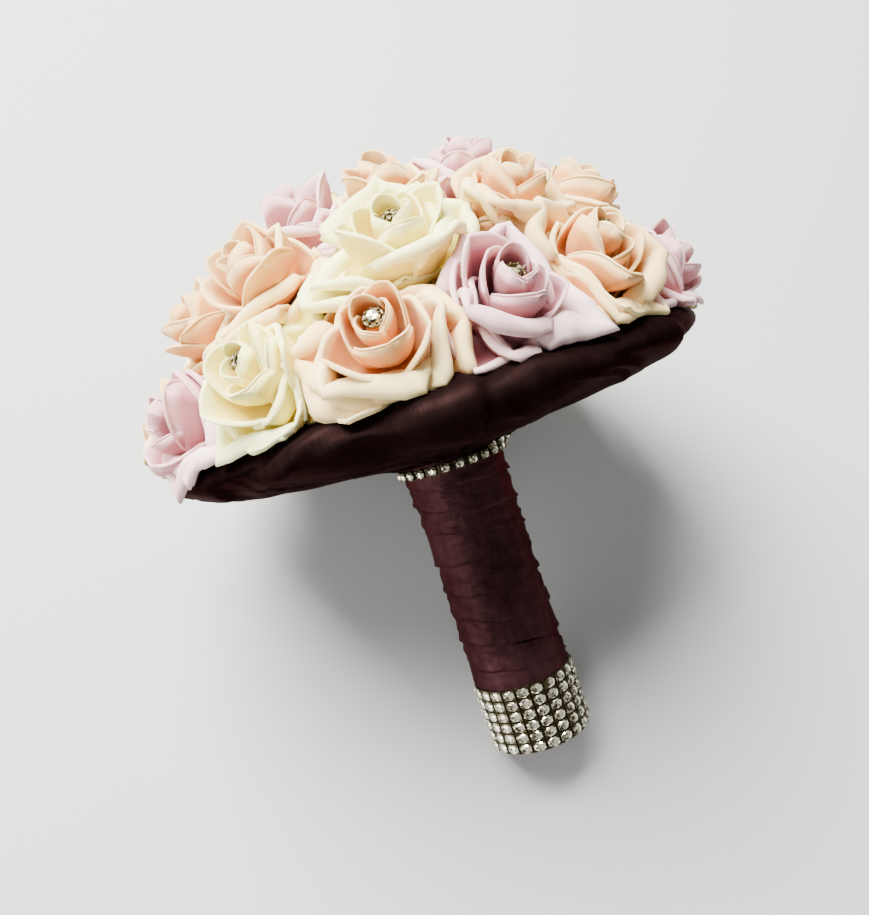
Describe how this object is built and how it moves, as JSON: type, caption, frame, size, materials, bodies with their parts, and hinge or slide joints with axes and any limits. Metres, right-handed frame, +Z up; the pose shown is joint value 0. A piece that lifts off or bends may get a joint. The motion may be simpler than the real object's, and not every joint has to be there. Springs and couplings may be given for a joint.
{
  "type": "bridal bouquet",
  "caption": "Domed hand-tied posy of foam roses with crystal centres, a gathered satin collar and a ribbon-bound handle with stone trim, lying on its side.",
  "frame": {"origin": "middle of the bounding box in X and Y, on the surface that the posy lies on", "axes": "+Z up; the handle's end points to -Y and down to the surface, and the blooms face +Y and up; +X is to the right seen from the handle"},
  "size_m": [0.2364, 0.2466, 0.2094],
  "materials": {
    "peach_foam": "matte",
    "ivory_foam": "matte",
    "lilac_foam": "matte",
    "crystal": "clear faceted",
    "stem": "matte",
    "satin_ribbon": "satin",
    "satin": "satin",
    "set_stones": "faceted stones in pale gold cups"
  },
  "bodies": {
    "root": {"rose_1": "peach_foam", "rose_2": "lilac_foam", "rose_3": "peach_foam", "rose_4": "lilac_foam", "rose_5": "ivory_foam", "rose_6": "peach_foam", "rose_7": "lilac_foam", "rose_8": "peach_foam", "rose_9": "lilac_foam", "rose_10": "peach_foam", "rose_11": "lilac_foam", "rose_12": "ivory_foam", "rose_13": "ivory_foam", "rose_14": "peach_foam", "rose_15": "peach_foam", "rose_16": "lilac_foam", "rose_17": "peach_foam", "rose_18": "ivory_foam", "rose_19": "peach_foam", "rose_20": "ivory_foam", "rose_21": "peach_foam", "rose_22": "peach_foam", "rose_23": "peach_foam", "rose_24": "lilac_foam", "rose_25": "peach_foam", "rose_26": "ivory_foam", "rose_27": "lilac_foam", "crystal_1": "crystal", "crystal_2": "crystal", "crystal_3": "crystal", "crystal_4": "crystal", "crystal_5": "crystal", "crystal_6": "crystal", "crystal_7": "crystal", "crystal_8": "crystal", "crystal_9": "crystal", "crystal_10": "crystal", "crystal_11": "crystal", "crystal_12": "crystal", "crystal_13": "crystal", "crystal_14": "crystal", "crystal_15": "crystal", "crystal_16": "crystal", "crystal_17": "crystal", "crystal_18": "crystal", "crystal_19": "crystal", "crystal_20": "crystal", "crystal_21": "crystal", "crystal_22": "crystal", "crystal_23": "crystal", "crystal_24": "crystal", "crystal_25": "crystal", "crystal_26": "crystal", "crystal_27": "crystal", "stem_bundle": "stem", "ribbon_binding": "satin_ribbon", "satin_collar": "satin", "neck_stone_row": "set_stones", "stone_mesh_band": "set_stones"}
  },
  "joints": []
}
